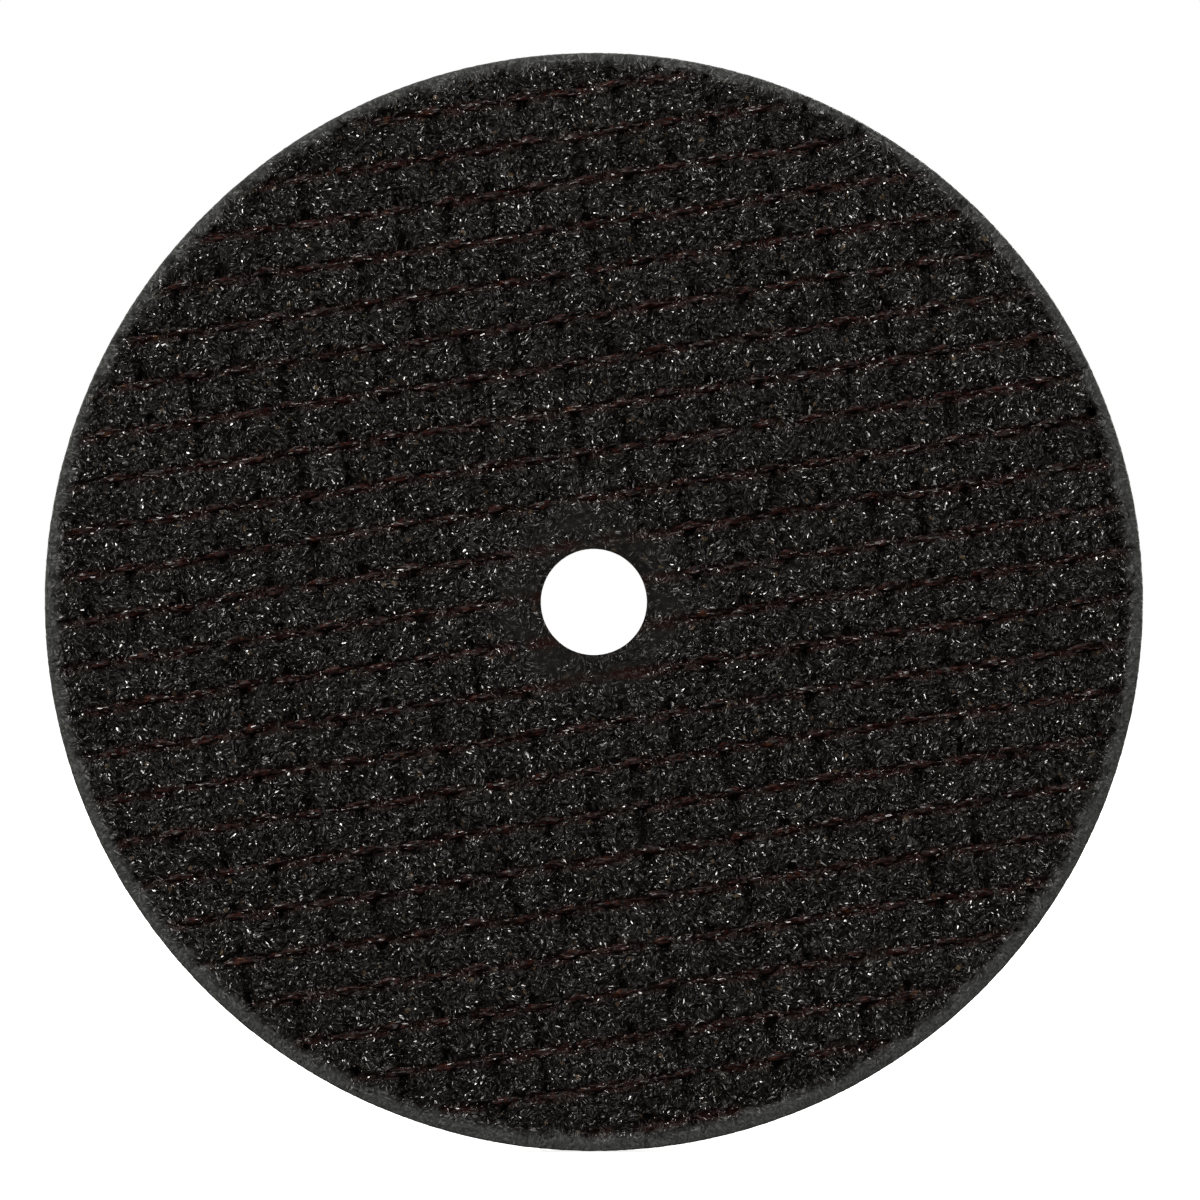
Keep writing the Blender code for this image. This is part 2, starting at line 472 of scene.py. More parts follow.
def fill_grooves(weave):
    """How strongly the groove over a fill yarn shows, 0 to about 1."""
    low_strength = between(*LOW_FILL_STRENGTHS, weave.up_cell)
    strength = np.where(weave.high, HIGH_FILL_STRENGTH, low_strength) * weave.patchy
    return fade(weave.to_fill, np.where(weave.high, *FILL_GROOVE_FLAT), FILL_GROOVE_EDGE) * strength


def leno_grooves(points, weave):
    """The depth of the groove that a leno yarn lies in, with crumbs of grain on its floor."""
    in_groove = fade(
        weave.to_leno, between(*LENO_GROOVE_FLATS, weave.at_crossing), LENO_GROOVE_EDGE,
    )
    crumbs = soft_noise(points, CRUMBS) * CRUMB_HEIGHT
    crumbs *= between(1, CROSSING_CRUMBS, weave.at_crossing)
    return in_groove * (LENO_GROOVE_DEPTH + crumbs)


def pockets(weave):
    """The pockets beside the crossings: below a high strand, and above a low one."""
    middle, half_height, half_width = (
        np.where(weave.high, *pair)
        for pair in (POCKET_ABOVE_LENO, POCKET_HALF_HEIGHT, POCKET_HALF_WIDTH)
    )
    away = np.hypot((weave.above_leno - middle) / half_height, weave.to_fill / half_width)
    return np.exp(-(away ** 4)) * weave.patchy


Crust = namedtuple("Crust", "depth look")


def face_crust(points, number, leno, fill, at_rim, at_hub):
    """How deep the crust lies under the face, and its rim, hub, shade and stain shares; the shade
    share is painted shade in the recesses, with the dull patches.
    """
    weave = weave_at(points, leno, fill)
    groove, pocket = fill_grooves(weave), pockets(weave)
    relief = np.maximum(groove * FILL_GROOVE_DEPTH, leno_grooves(points, weave))
    relief = np.maximum(relief, pocket * POCKET_DEPTH)
    from_edge = np.minimum(weave.to_fill / (fill.pitch / 2), weave.to_leno / (leno.pitch / 2))
    relief += PILLOW_DEPTH * (1 - smoothstep(from_edge)) ** 1.5
    rough = between(HUB_ROUGHNESS, 1, at_rim * at_hub) * between(BAND_ROUGHNESS, 1, at_rim)
    rough *= 0.9 + 0.4 * soft_noise(points, ROUGH_PATCHES)
    grain = rng(number).uniform(-1, 1, len(points)) * GRAIN_HEIGHT
    grain += soft_noise(points, LUMPS) * LUMP_HEIGHT
    cloth = at_rim * between(HUB_WEAVE, 1, at_hub)
    depth = cloth * relief + rough * grain + (1 - at_rim) * BAND_DEPTH

    # Painted shade: the grooves and pockets are darkened in colour for the shade that falls in
    # them, and the random dull patches join them in the next line.
    shade_and_dull = np.maximum(groove * GROOVE_PAINTED_SHADE, pocket * POCKET_PAINTED_SHADE)
    dull = np.clip(1.3 * soft_noise(points, DULL_PATCHES) - 0.2, 0, MOST_DULL)
    dark = np.maximum(cloth * shade_and_dull, dull * at_rim * between(0.4, 1, at_hub))
    stain = np.clip(0.62 + 0.7 * soft_noise(points, STAIN_PATCHES), 0, 1)
    stain *= fade(weave.to_leno, STAIN_FLAT, STAIN_EDGE) * at_rim
    streaks = np.clip(0.85 + 0.5 * soft_noise(points * (1, 2.2), HUB_STREAKS), 0, 1)
    look = np.stack([1 - at_rim, (1 - at_hub) * streaks, np.clip(dark, 0, 1), stain], 1)
    return Crust(depth, look)


def polar_unwrap(mesh, path, triangles, hidden):
    """An unwrap round the wheel's axis: path is each vertex's distance out, in UV units."""
    layer = mesh.uv_layers.new(name="OFBake")
    points = np.empty(len(mesh.vertices) * 3, np.float32)
    mesh.vertices.foreach_get("co", points)
    flat = points.reshape(-1, 3)[:, [0, 2]]
    turn = flat / np.maximum(np.linalg.norm(flat, axis=1), 1e-9)[:, None]
    uv = (turn * path[:, None] + 0.5)[triangles]
    uv[hidden] = (turn * 0.004 + (0.99, 0.99))[triangles[hidden]]
    layer.data.foreach_set("uv", uv.astype(np.float32).ravel())


# ---------------------------------------------------------------- materials


def node_material(name):
    material = bpy.data.materials.new(name)
    material.use_nodes = True
    nodes = material.node_tree.nodes
    return material, nodes, material.node_tree.links, nodes["Principled BSDF"]


def add_node(nodes, kind, **settings):
    node = nodes.new(kind)
    for key, value in settings.items():
        if key.startswith("in_"):
            node.inputs[key[3:].replace("_", " ")].default_value = value
        else:
            setattr(node, key, value)
    return node


def object_coordinates(nodes):
    """The wheel's own coordinates, in metres: every piece sits at the wheel's centre."""
    return nodes.new("ShaderNodeTexCoord").outputs["Object"]


def colour_ramp(nodes, links, factor, stops):
    ramp = nodes.new("ShaderNodeValToRGB")
    elements = ramp.color_ramp.elements
    while len(elements) < len(stops):
        elements.new(0.5)
    for element, (place, colour) in zip(elements, stops):
        element.position = place
        element.color = (*colour, 1.0)
    links.new(factor, ramp.inputs["Fac"])
    return ramp.outputs["Color"]


def mix(nodes, links, factor, first, second, most=1.0, kind="RGBA"):
    """A blend of two sockets or constants, by a factor that tops out at most."""
    share = add_node(nodes, "ShaderNodeMath", operation="MULTIPLY")
    share.inputs[1].default_value = most
    links.new(factor, share.inputs[0])
    blend = add_node(nodes, "ShaderNodeMix", data_type=kind)
    blend.factor_mode = "UNIFORM"
    enabled = [socket for socket in blend.inputs if socket.enabled]
    links.new(share.outputs[0], enabled[0])
    for socket, value in zip(enabled[1:], (first, second)):
        if isinstance(value, tuple):
            socket.default_value = value
        else:
            links.new(value, socket)
    return next(socket for socket in blend.outputs if socket.enabled)


def geometry_normal(nodes):
    return nodes.new("ShaderNodeNewGeometry").outputs["Normal"]


def tilted_normal(nodes, links, cells, strength):
    """The surface normal, tipped a different way in each cell of a Voronoi texture."""
    centred = add_node(nodes, "ShaderNodeVectorMath", operation="SUBTRACT")
    centred.inputs[1].default_value = (0.5, 0.5, 0.5)
    links.new(cells, centred.inputs[0])
    scaled = add_node(nodes, "ShaderNodeVectorMath", operation="SCALE")
    scaled.inputs["Scale"].default_value = strength
    links.new(centred.outputs[0], scaled.inputs[0])
    summed = add_node(nodes, "ShaderNodeVectorMath", operation="ADD")
    links.new(geometry_normal(nodes), summed.inputs[0])
    links.new(scaled.outputs[0], summed.inputs[1])
    unit = add_node(nodes, "ShaderNodeVectorMath", operation="NORMALIZE")
    links.new(summed.outputs[0], unit.inputs[0])
    return unit.outputs[0]


def turned_cells(nodes, links, place, grain, splinter):
    """Slender Voronoi cells that point a different way in each grain."""
    grains = add_node(nodes, "ShaderNodeTexVoronoi", in_Scale=1 / grain)
    links.new(place, grains.inputs["Vector"])
    parts = nodes.new("ShaderNodeSeparateColor")
    links.new(grains.outputs["Color"], parts.inputs["Color"])
    angle = add_node(nodes, "ShaderNodeMath", operation="MULTIPLY")
    angle.inputs[1].default_value = math.tau
    links.new(parts.outputs["Red"], angle.inputs[0])
    turned = add_node(nodes, "ShaderNodeVectorRotate", rotation_type="Y_AXIS")
    links.new(place, turned.inputs["Vector"])
    links.new(angle.outputs[0], turned.inputs["Angle"])
    stretched = add_node(nodes, "ShaderNodeVectorMath", operation="MULTIPLY")
    stretched.inputs[1].default_value = tuple(1 / side for side in splinter)
    links.new(turned.outputs["Vector"], stretched.inputs[0])
    cells = add_node(nodes, "ShaderNodeTexVoronoi", in_Scale=1.0)
    links.new(stretched.outputs[0], cells.inputs["Vector"])
    return parts, cells


def abrasive_material():
    """Black crystalline grain: splinters that may catch the light, set in dark resin."""
    material, nodes, links, shader = node_material("black_abrasive_grain")
    place = object_coordinates(nodes)
    look = nodes.new("ShaderNodeSeparateColor")
    attribute = add_node(nodes, "ShaderNodeAttribute", attribute_name="look")
    links.new(attribute.outputs["Color"], look.inputs["Color"])
    # The blue share is painted shade in the grooves and pockets, together with the random dull
    # patches.
    rim, hub, shade_and_dull = (look.outputs[name] for name in ("Red", "Green", "Blue"))
    stain = attribute.outputs["Alpha"]
    grain, splinters = turned_cells(nodes, links, place, GRAIN_CELL, SPLINTER_SIZE)
    normal = tilted_normal(nodes, links, splinters.outputs["Color"], SPLINTER_TILT)
    calm = mix(nodes, links, rim, normal, geometry_normal(nodes), BAND_CALM, "VECTOR")
    calm = mix(nodes, links, hub, calm, geometry_normal(nodes), HUB_CALM, "VECTOR")
    links.new(calm, shader.inputs["Normal"])
    shade = nodes.new("ShaderNodeSeparateColor")
    links.new(splinters.outputs["Color"], shade.inputs["Color"])
    grains = colour_ramp(nodes, links, grain.outputs["Green"], [
        (0.0, (0.0024, 0.0015, 0.0010)),
        (0.50, (0.0084, 0.0067, 0.0051)),
        (1.0, (0.0180, 0.0152, 0.0122)),
    ])
    specks = add_node(nodes, "ShaderNodeTexVoronoi", in_Scale=1 / TAN_SPECK_CELL)
    links.new(place, specks.inputs["Vector"])
    speck = nodes.new("ShaderNodeSeparateColor")
    links.new(specks.outputs["Color"], speck.inputs["Color"])
    tan = colour_ramp(nodes, links, speck.outputs["Red"], [(0.993, (0, 0, 0)), (0.997, (1, 1, 1))])
    grains = mix(nodes, links, tan, grains, TAN_SPECK)
    fines = add_node(nodes, "ShaderNodeTexNoise", in_Scale=1 / FINES_CELL, in_Detail=4.0)
    links.new(place, fines.inputs["Vector"])
    band = colour_ramp(nodes, links, fines.outputs["Fac"], [
        (0.28, (0.034, 0.036, 0.035)),
        (0.55, (0.076, 0.080, 0.077)),
        (0.78, (0.145, 0.151, 0.145)),
    ])
    base = mix(nodes, links, hub, grains, HUB_RESIN, 0.76)
    base = mix(nodes, links, stain, base, RED_STAIN, 0.9)
    base = mix(nodes, links, rim, base, band)
    # Painted shade: the grooves and pockets, and the dull patches, are blended to near black.
    base = mix(nodes, links, shade_and_dull, base, RECESS_PAINTED_SHADE)
    links.new(base, shader.inputs["Base Color"])
    gloss = colour_ramp(nodes, links, shade.outputs["Green"], [
        (0.0, (0.10, 0.10, 0.10)),
        (0.5, (0.26, 0.26, 0.26)),
        (1.0, (0.50, 0.50, 0.50)),
    ])
    rough = mix(nodes, links, rim, gloss, (0.6, 0.6, 0.6, 1.0), 0.6)
    rough = mix(nodes, links, shade_and_dull, rough, (0.9, 0.9, 0.9, 1.0), 0.3)
    links.new(rough, shader.inputs["Roughness"])
    # Painted shade: the specular is tinted down in the grooves, pockets and dull patches.
    shaded_specular = mix(nodes, links, shade_and_dull, PLAIN_SPECULAR, RECESS_SHADED_SPECULAR)
    links.new(shaded_specular, shader.inputs["Specular Tint"])
    shader.inputs["Specular IOR Level"].default_value = 0.6
    return material


def strand_material(name, along, dark, middle, bright, amber):
    """Glass strand soaked in resin and pressed with grain: dark red splinters along the yarn."""
    material, nodes, links, shader = node_material(name)
    place = object_coordinates(nodes)
    turned = add_node(nodes, "ShaderNodeVectorRotate", rotation_type="Y_AXIS")
    turned.inputs["Angle"].default_value = math.atan2(along[1], along[0])
    links.new(place, turned.inputs["Vector"])
    drawn_out = add_node(nodes, "ShaderNodeVectorMath", operation="MULTIPLY")
    drawn_out.inputs[1].default_value = tuple(1 / side for side in FIBRE_SIZE)
    links.new(turned.outputs["Vector"], drawn_out.inputs[0])
    fibres = add_node(nodes, "ShaderNodeTexVoronoi", in_Scale=1.0)
    links.new(drawn_out.outputs[0], fibres.inputs["Vector"])
    links.new(
        tilted_normal(nodes, links, fibres.outputs["Color"], FIBRE_TILT), shader.inputs["Normal"],
    )
    shade = nodes.new("ShaderNodeSeparateColor")
    links.new(fibres.outputs["Color"], shade.inputs["Color"])
    streaks = add_node(nodes, "ShaderNodeTexNoise", in_Scale=1 / STREAK_CELL, in_Detail=3.0)
    links.new(place, streaks.inputs["Vector"])
    blend = add_node(nodes, "ShaderNodeMath", operation="MULTIPLY_ADD")
    links.new(shade.outputs["Green"], blend.inputs[0])
    blend.inputs[1].default_value = 0.35
    links.new(streaks.outputs["Fac"], blend.inputs[2])
    base = colour_ramp(nodes, links, blend.outputs[0], [
        (0.52, dark),
        (0.70, middle),
        (0.92, bright),
    ])
    patches = add_node(nodes, "ShaderNodeTexNoise", in_Scale=1 / THIN_PATCH_CELL, in_Detail=2.0)
    links.new(place, patches.inputs["Vector"])
    flattened = add_node(nodes, "ShaderNodeVectorMath", operation="MULTIPLY")
    flattened.inputs[1].default_value = (1, 0, 1)
    links.new(place, flattened.inputs[0])
    reach = add_node(nodes, "ShaderNodeVectorMath", operation="LENGTH")
    links.new(flattened.outputs[0], reach.inputs[0])
    near_rim = add_node(
        nodes,
        "ShaderNodeMapRange",
        in_From_Min=THIN_FROM_RADIUS,
        in_From_Max=THIN_TO_RADIUS,
        in_To_Max=THIN_AT_RIM,
    )
    links.new(reach.outputs["Value"], near_rim.inputs["Value"])
    thin = add_node(nodes, "ShaderNodeMath", operation="ADD")
    links.new(patches.outputs["Fac"], thin.inputs[0])
    links.new(near_rim.outputs["Result"], thin.inputs[1])
    share = colour_ramp(nodes, links, thin.outputs[0], [(0.66, (0, 0, 0)), (0.78, (1, 1, 1))])
    links.new(mix(nodes, links, share, base, (*amber, 1.0), 0.8), shader.inputs["Base Color"])
    gloss = colour_ramp(nodes, links, shade.outputs["Red"], [
        (0.0, (0.18, 0.18, 0.18)),
        (1.0, (0.50, 0.50, 0.50)),
    ])
    links.new(gloss, shader.inputs["Roughness"])
    shader.inputs["Specular IOR Level"].default_value = 0.5
    return material


def paper_material():
    """Blank grey paper: fibres, and the dark grain that shows through where it is thin."""
    material, nodes, links, shader = node_material("grey_blotter_paper")
    place = object_coordinates(nodes)
    fibres = add_node(nodes, "ShaderNodeTexNoise", in_Scale=1 / PAPER_FIBRE_CELL, in_Detail=6.0)
    fibres.inputs["Distortion"].default_value = 2.0
    links.new(place, fibres.inputs["Vector"])
    base = colour_ramp(nodes, links, fibres.outputs["Fac"], [
        (0.28, (0.25, 0.235, 0.205)),
        (0.50, (0.36, 0.345, 0.31)),
        (0.72, (0.45, 0.435, 0.40)),
    ])
    smudges = add_node(nodes, "ShaderNodeTexNoise", in_Scale=1 / SMUDGE_CELL, in_Detail=8.0)
    smudges.inputs["Roughness"].default_value = 0.7
    links.new(place, smudges.inputs["Vector"])
    soot = colour_ramp(nodes, links, smudges.outputs["Fac"], [(0.52, (0, 0, 0)), (0.72, (1, 1, 1))])
    base = mix(nodes, links, soot, base, (0.10, 0.093, 0.082, 1.0), 0.55)
    pressed = add_node(nodes, "ShaderNodeAttribute", attribute_name="look").outputs["Fac"]
    base = mix(nodes, links, pressed, base, (0.17, 0.155, 0.132, 1.0), 0.5)
    links.new(base, shader.inputs["Base Color"])
    bump = add_node(nodes, "ShaderNodeBump", in_Strength=0.35)
    bump.inputs["Distance"].default_value = PAPER_BUMP
    links.new(fibres.outputs["Fac"], bump.inputs["Height"])
    links.new(bump.outputs["Normal"], shader.inputs["Normal"])
    shader.inputs["Roughness"].default_value = 0.85
    return material


def floor_material():
    material, _, _, shader = node_material("white_floor")
    shader.inputs["Base Color"].default_value = (0.92, 0.92, 0.92, 1.0)
    shader.inputs["Roughness"].default_value = 0.9
    shader.inputs["Specular IOR Level"].default_value = 0.1
    shader.inputs["Emission Color"].default_value = (1.0, 1.0, 1.0, 1.0)
    shader.inputs["Emission Strength"].default_value = 0.85
    return material


# ---------------------------------------------------------------- pieces


class Skin:
    """Collects the vertices and triangles of one closed piece.

    Each vertex has a look, which is its rim, hub, shade and stain shares, the shade share being
    painted shade with the dull patches, and a path, which is how far out the unwrap puts it.
    """

    def __init__(self):
        self.points = []
        self.looks = []
        self.paths = []
        self.triangles = []
        self.hidden = []
        self.count = 0

    def add(self, points, triangles=None, look=(0.0, 0.0, 0.0, 0.0), path=0.0):
        """Adds vertices, and triangles numbered from the first of them."""
        start = self.count
        self.points.append(points)
        self.looks.append(np.broadcast_to(look, (len(points), 4)))
        self.paths.append(np.broadcast_to(path, len(points)))
        self.count += len(points)
        if triangles is not None:
            self.add_triangles(triangles + start)
        return np.arange(start, self.count)

    def add_triangles(self, triangles, hidden=False):
        self.triangles.append(triangles)
        self.hidden.append(np.full(len(triangles), hidden))

    def add_row(self, before, ring, look, path):
        """Carries an open boundary loop on to a new ring of as many vertices."""
        after = self.add(ring, None, look, path)
        onward, beyond = np.roll(before, -1), np.roll(after, -1)
        self.add_triangles(np.stack([onward, before, after], 1))
        self.add_triangles(np.stack([onward, after, beyond], 1))
        return after

    def close_ring(self, outer, inner, facing):
        """Fills the hidden flat ring between two boundary loops, facing +Y or -Y."""
        self.add_triangles(zip_loops(np.concatenate(self.points), outer, inner, facing), True)

    def mesh(self, name, smooth=False, mirrored=False, unwrapped=True):
        points, triangles = np.concatenate(self.points), np.concatenate(self.triangles)
        if mirrored:
            points, triangles = points * (1, -1, 1), triangles[:, ::-1]
        mesh = make_mesh(name, points, triangles, smooth)
        if unwrapped:
            polar_unwrap(mesh, np.concatenate(self.paths), triangles, np.concatenate(self.hidden))
            looks = mesh.attributes.new("look", "FLOAT_COLOR", "POINT")
            looks.data.foreach_set("color", np.concatenate(self.looks).astype(np.float32).ravel())
        return mesh


def by_turn(points, loop):
    """A loop's vertices in order round the wheel, and their angles with the first repeated."""
    turn = np.arctan2(points[loop][:, 2], points[loop][:, 0])
    order = np.argsort(turn)
    return loop[order], [*turn[order], turn[order[0]] + math.tau]


def zip_loops(points, outer, inner, facing):
    """Triangles between two round loops, taking whichever next corner comes first in angle."""
    outer, outer_turn = by_turn(points, outer)
    inner, inner_turn = by_turn(points, inner)
    found = []
    i = j = 0
    while i < len(outer) or j < len(inner):
        here, there = outer[i % len(outer)], inner[j % len(inner)]
        if j == len(inner) or (i < len(outer) and outer_turn[i + 1] <= inner_turn[j + 1]):
            i += 1
            found.append((here, outer[i % len(outer)], there))
        else:
            j += 1
            found.append((here, inner[j % len(inner)], there))
    found = np.array(found)
    a, b, c = (points[found[:, k]] for k in range(3))
    wrong = np.cross(b - a, c - a)[:, 1] * facing < 0
    found[wrong] = found[wrong][:, ::-1]
    return found


def round_wall(skin, loop, flat, rows, seed, paths, look):
    """Carries a boundary loop through rows of (radius, y, roughness)."""
    turn = flat / np.linalg.norm(flat, axis=1)[:, None]
    for number, ((radius, y, rough), path) in enumerate(zip(rows, np.linspace(*paths, len(rows)))):
        noise = rng(seed + number).uniform(-1, 1, (len(loop), 3)) * rough
        ring = turn * (radius + noise[:, :1]) + noise[:, 1:2] * turn[:, ::-1] * (-1, 1)
        ring = np.stack([ring[:, 0], y + noise[:, 2], ring[:, 1]], 1)
        loop = skin.add_row(loop, ring, look, path)
    return loop


def build_core(material):
    """The abrasive body as one closed skin: crust, rim, rear band, rear pocket and bore."""
    flat, triangles, (bore_loop, rim_loop) = grain_lattice(
        BORE_RADIUS, FACE_RADIUS, GRAIN_SPACING, CORE_LATTICE,
    )
    at_rim, at_hub = cloth_presence(flat)
    crust = face_crust(flat, CORE_GRAIN, LENO, FILL, at_rim, at_hub)
    crust.depth[bore_loop] = 0.06 * MM
    crust.depth[rim_loop] = BAND_DEPTH + 0.05 * MM
    skin = Skin()
    radius = np.linalg.norm(flat, axis=1)
    path = np.interp(radius, (BORE_RADIUS, FACE_RADIUS), (0.042, 0.44))
    points = np.stack([flat[:, 0], FRONT_Y + crust.depth, flat[:, 1]], 1)
    skin.add(points, triangles, crust.look, path)
    pocket_y = cloth_low.y - 0.05 * MM
    rim_ys = np.linspace(FRONT_Y + BAND_DEPTH + 0.18 * MM, RIM_REAR_Y - EDGE_ROUNDING, 8)
    rim = [(WHEEL_RADIUS - 0.01 * MM, y, 0.018 * MM) for y in rim_ys]
    rim += [
        (FACE_RADIUS, RIM_REAR_Y, 0.01 * MM),
        (CLOTH_RADIUS + 0.9 * MM, RIM_REAR_Y - 0.02 * MM, 0.03 * MM),
        (CLOTH_RADIUS + 0.6 * MM, RIM_REAR_Y - 0.02 * MM, 0.03 * MM),
        (CLOTH_RADIUS + 0.3 * MM, RIM_REAR_Y - 0.04 * MM, 0.02 * MM),
        (CLOTH_RADIUS + 0.3 * MM, pocket_y, 0.0),
    ]
    rim_end = round_wall(
        skin, rim_loop, flat[rim_loop], rim, CORE_RIM_WALL, (0.443, 0.495), (0.8, 0, 0, 0),
    )
    bore_ys = np.linspace(FRONT_Y + 0.3 * MM, pocket_y - 0.3 * MM, 8)
    wall = [(BORE_RADIUS, y, 0.02 * MM) for y in bore_ys] + [(BORE_RADIUS, pocket_y, 0.0)]
    bore_end = round_wall(
        skin, bore_loop, flat[bore_loop], wall, CORE_BORE_WALL, (0.040, 0.018), (0.5, 1, 0, 0),
    )
    skin.close_ring(rim_end, bore_end, 1)
    body = add_piece("abrasive_body", skin.mesh("abrasive_body"), material)
    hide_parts("abrasive_core")


def build_rear_cloth(material):
    """The rear cloth's crust, open to view outside the blotter, as one closed ring."""
    inner = BLOTTER_RADIUS - 1.2 * MM
    outer = CLOTH_RADIUS - 0.05 * MM
    flat, triangles, (inner_loop, outer_loop) = grain_lattice(
        inner, outer, REAR_SPACING, REAR_LATTICE,
    )
    everywhere = np.ones(len(flat))
    crust = face_crust(flat, REAR_GRAIN, REAR_LENO, REAR_FILL, everywhere, everywhere)
    under_blotter = np.linalg.norm(flat, axis=1) < BLOTTER_RADIUS + 0.3 * MM
    crust.depth[under_blotter] = np.maximum(crust.depth[under_blotter], 0.10 * MM)
    crust.depth[inner_loop] = 0.12 * MM
    crust.depth[outer_loop] = 0.12 * MM
    skin = Skin()
    radius = np.linalg.norm(flat, axis=1)
    path = np.interp(radius, (inner, outer), (0.28, 0.47))
    points = np.stack([flat[:, 0], REAR_FACE_Y + crust.depth, flat[:, 1]], 1)
    skin.add(points, triangles, crust.look, path)
    back_y = -cloth_low.y
    wall = [(outer, back_y, 0.0)]
    # Painted shade: the outer wall takes half the darkening of a recess.
    outer_end = round_wall(
        skin, outer_loop, flat[outer_loop], wall, REAR_RIM_WALL, (0.49, 0.49), (0, 0, 0.5, 0),
    )
    turn = np.arange(BORE_SIDES) / BORE_SIDES * math.tau
    bore_ring = np.stack([np.cos(turn), np.zeros(BORE_SIDES), np.sin(turn)], 1) * BORE_RADIUS
    bore_top = skin.add(bore_ring + (0, REAR_FACE_Y + 0.12 * MM, 0))
    skin.close_ring(inner_loop, bore_top, -1)
    bore_end = skin.add(bore_ring + (0, back_y, 0))
    onward, beyond = np.roll(bore_top, -1), np.roll(bore_end, -1)
    skin.add_triangles(np.stack([bore_top, onward, bore_end], 1), True)
    skin.add_triangles(np.stack([onward, beyond, bore_end], 1), True)
    skin.close_ring(outer_end, bore_end, 1)
    mesh = skin.mesh("rear_cloth_crust", mirrored=True)
    piece = add_piece("rear_cloth_crust", mesh, material)
    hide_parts("rear_glass_cloth")


def add_tube(skin, centres, across, half_width, half_thick, lobes, twist, seed):
    """A closed strand with a flat oval section, swept along its centre points."""
    sides = STRAND_SIDES
    turn = np.arange(sides) / sides * math.tau
    steps = np.arange(len(centres))
    swell = 1 + lobes * np.cos(2 * turn[None, :] + twist * steps[:, None])
    half_width = np.broadcast_to(half_width, len(centres))[:, None]
    wide = (np.cos(turn)[None, :] * half_width * swell)[..., None] * np.array(across)
    thick = (np.sin(turn)[None, :] * half_thick * swell)[..., None] * np.array((0, 1, 0))
    frayed = rng(seed).uniform(-FRAY, FRAY, (len(centres), sides, 3))
    rings = centres[:, None, :] + wide + thick + frayed
    cells = np.arange(len(centres) * sides).reshape(len(centres), sides)
    a, b = cells[:-1], np.roll(cells[:-1], -1, 1)
    c, d = cells[1:], np.roll(cells[1:], -1, 1)
    walls = [np.stack([a, b, c], -1).reshape(-1, 3), np.stack([b, d, c], -1).reshape(-1, 3)]
    first, last = cells[0], cells[-1]
    caps = [(first[0], first[k + 1], first[k]) for k in range(1, sides - 1)]
    caps += [(last[0], last[k], last[k + 1]) for k in range(1, sides - 1)]
    skin.add(rings.reshape(-1, 3), np.concatenate([*walls, np.array(caps)]))


def add_leno_pair(skin, start, end, leno, fill, face_y, number):
    """Two strands that twist between the fill yarns: one goes over each, the other under it."""
    length = np.linalg.norm(end - start)
    across = np.array([leno.across[0], 0.0, leno.across[1]])
    for over in (True, False):
        reach = np.linspace(0, length, int(length / (STRAND_STEP if over else UNDER_STEP)) + 1)
        spots = start + reach[:, None] * (end - start) / length
        phase = yarn_phase(spots, fill) * math.pi
        crossing = np.cos(2 * phase)
        drift = yarn_wander(spots)
        waver = soft_noise(spots, STRAND_WAVER, (2 * number + over) % WAVER_PATTERNS) * WAVER
        swing = (-1 if over else 1) * STRAND_SWING * np.cos(phase) + waver - drift
        sink = END_SINK * (1 - smoothstep(np.minimum(reach, length - reach) / END_LENGTH))
        lift = soft_noise(spots, STRAND_LIFT) * LIFT
        if over:
            depth = STRAND_MID_DEPTH - OVER_RISE * (1 + crossing) / 2
            half_width = STRAND_HALF_WIDTH * (1.02 + 0.20 * crossing)
        else:
            depth = UNDER_MID_DEPTH + UNDER_DROP * (1 + crossing) / 2
            half_width = STRAND_HALF_WIDTH * (0.9 - 0.1 * crossing)
        flat = spots + swing[:, None] * leno.across
        centres = np.stack([flat[:, 0], face_y + depth + lift + sink, flat[:, 1]], 1)
        seed = LENO_FRAY + 2 * number + over
        add_tube(
            skin, centres, across, half_width, STRAND_HALF_THICKNESS, LENO_LOBES, LENO_TWIST, seed,
        )


def build_leno_yarn(node, number, material):
    """One leno yarn: its pair of strands, which run on a little way under the smooth hub."""
    start, end = yarn_line(node)
    if (end - start) @ LENO.along < 0:
        start, end = end, start
    if np.linalg.norm(start) < HUB_NEAR:
        start = start - LENO.along * HUB_TAIL
    if np.linalg.norm(end) < HUB_NEAR:
        end = end + LENO.along * HUB_TAIL
    skin = Skin()
    add_leno_pair(skin, start, end, LENO, FILL, FRONT_Y, number)
    name = node.replace("yarn", "strands")
    piece = add_piece(name, skin.mesh(name, smooth=True, unwrapped=False), material)
    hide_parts(node)


def add_fill_strand(skin, start, end, fill, face_y):
    length = np.linalg.norm(end - start)
    steps = int(length / (2 * STRAND_STEP))
    spots = start + np.linspace(0, 1, steps + 1)[:, None] * (end - start)
    drift = yarn_wander(spots)
    flat = spots - drift[:, None] * fill.across
    depth = FILL_DEPTH + soft_noise(spots, FILL_LIFT) * LIFT
    centres = np.stack([flat[:, 0], face_y + depth, flat[:, 1]], 1)
    across = np.array([fill.across[0], 0.0, fill.across[1]])
    add_tube(
        skin, centres, across, FILL_HALF_WIDTH, FILL_HALF_THICKNESS,
        FILL_LOBES, FILL_TWIST, FILL_FRAY,
    )


def build_fill_yarn(node, material):
    """One fill yarn: a flat strand in the bottom of its groove, behind the leno strands."""
    start, end = yarn_line(node)
    skin = Skin()
    add_fill_strand(skin, start, end, FILL, FRONT_Y)
    name = node.replace("yarn", "strand")
    piece = add_piece(name, skin.mesh(name, smooth=True, unwrapped=False), material)
    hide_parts(node)


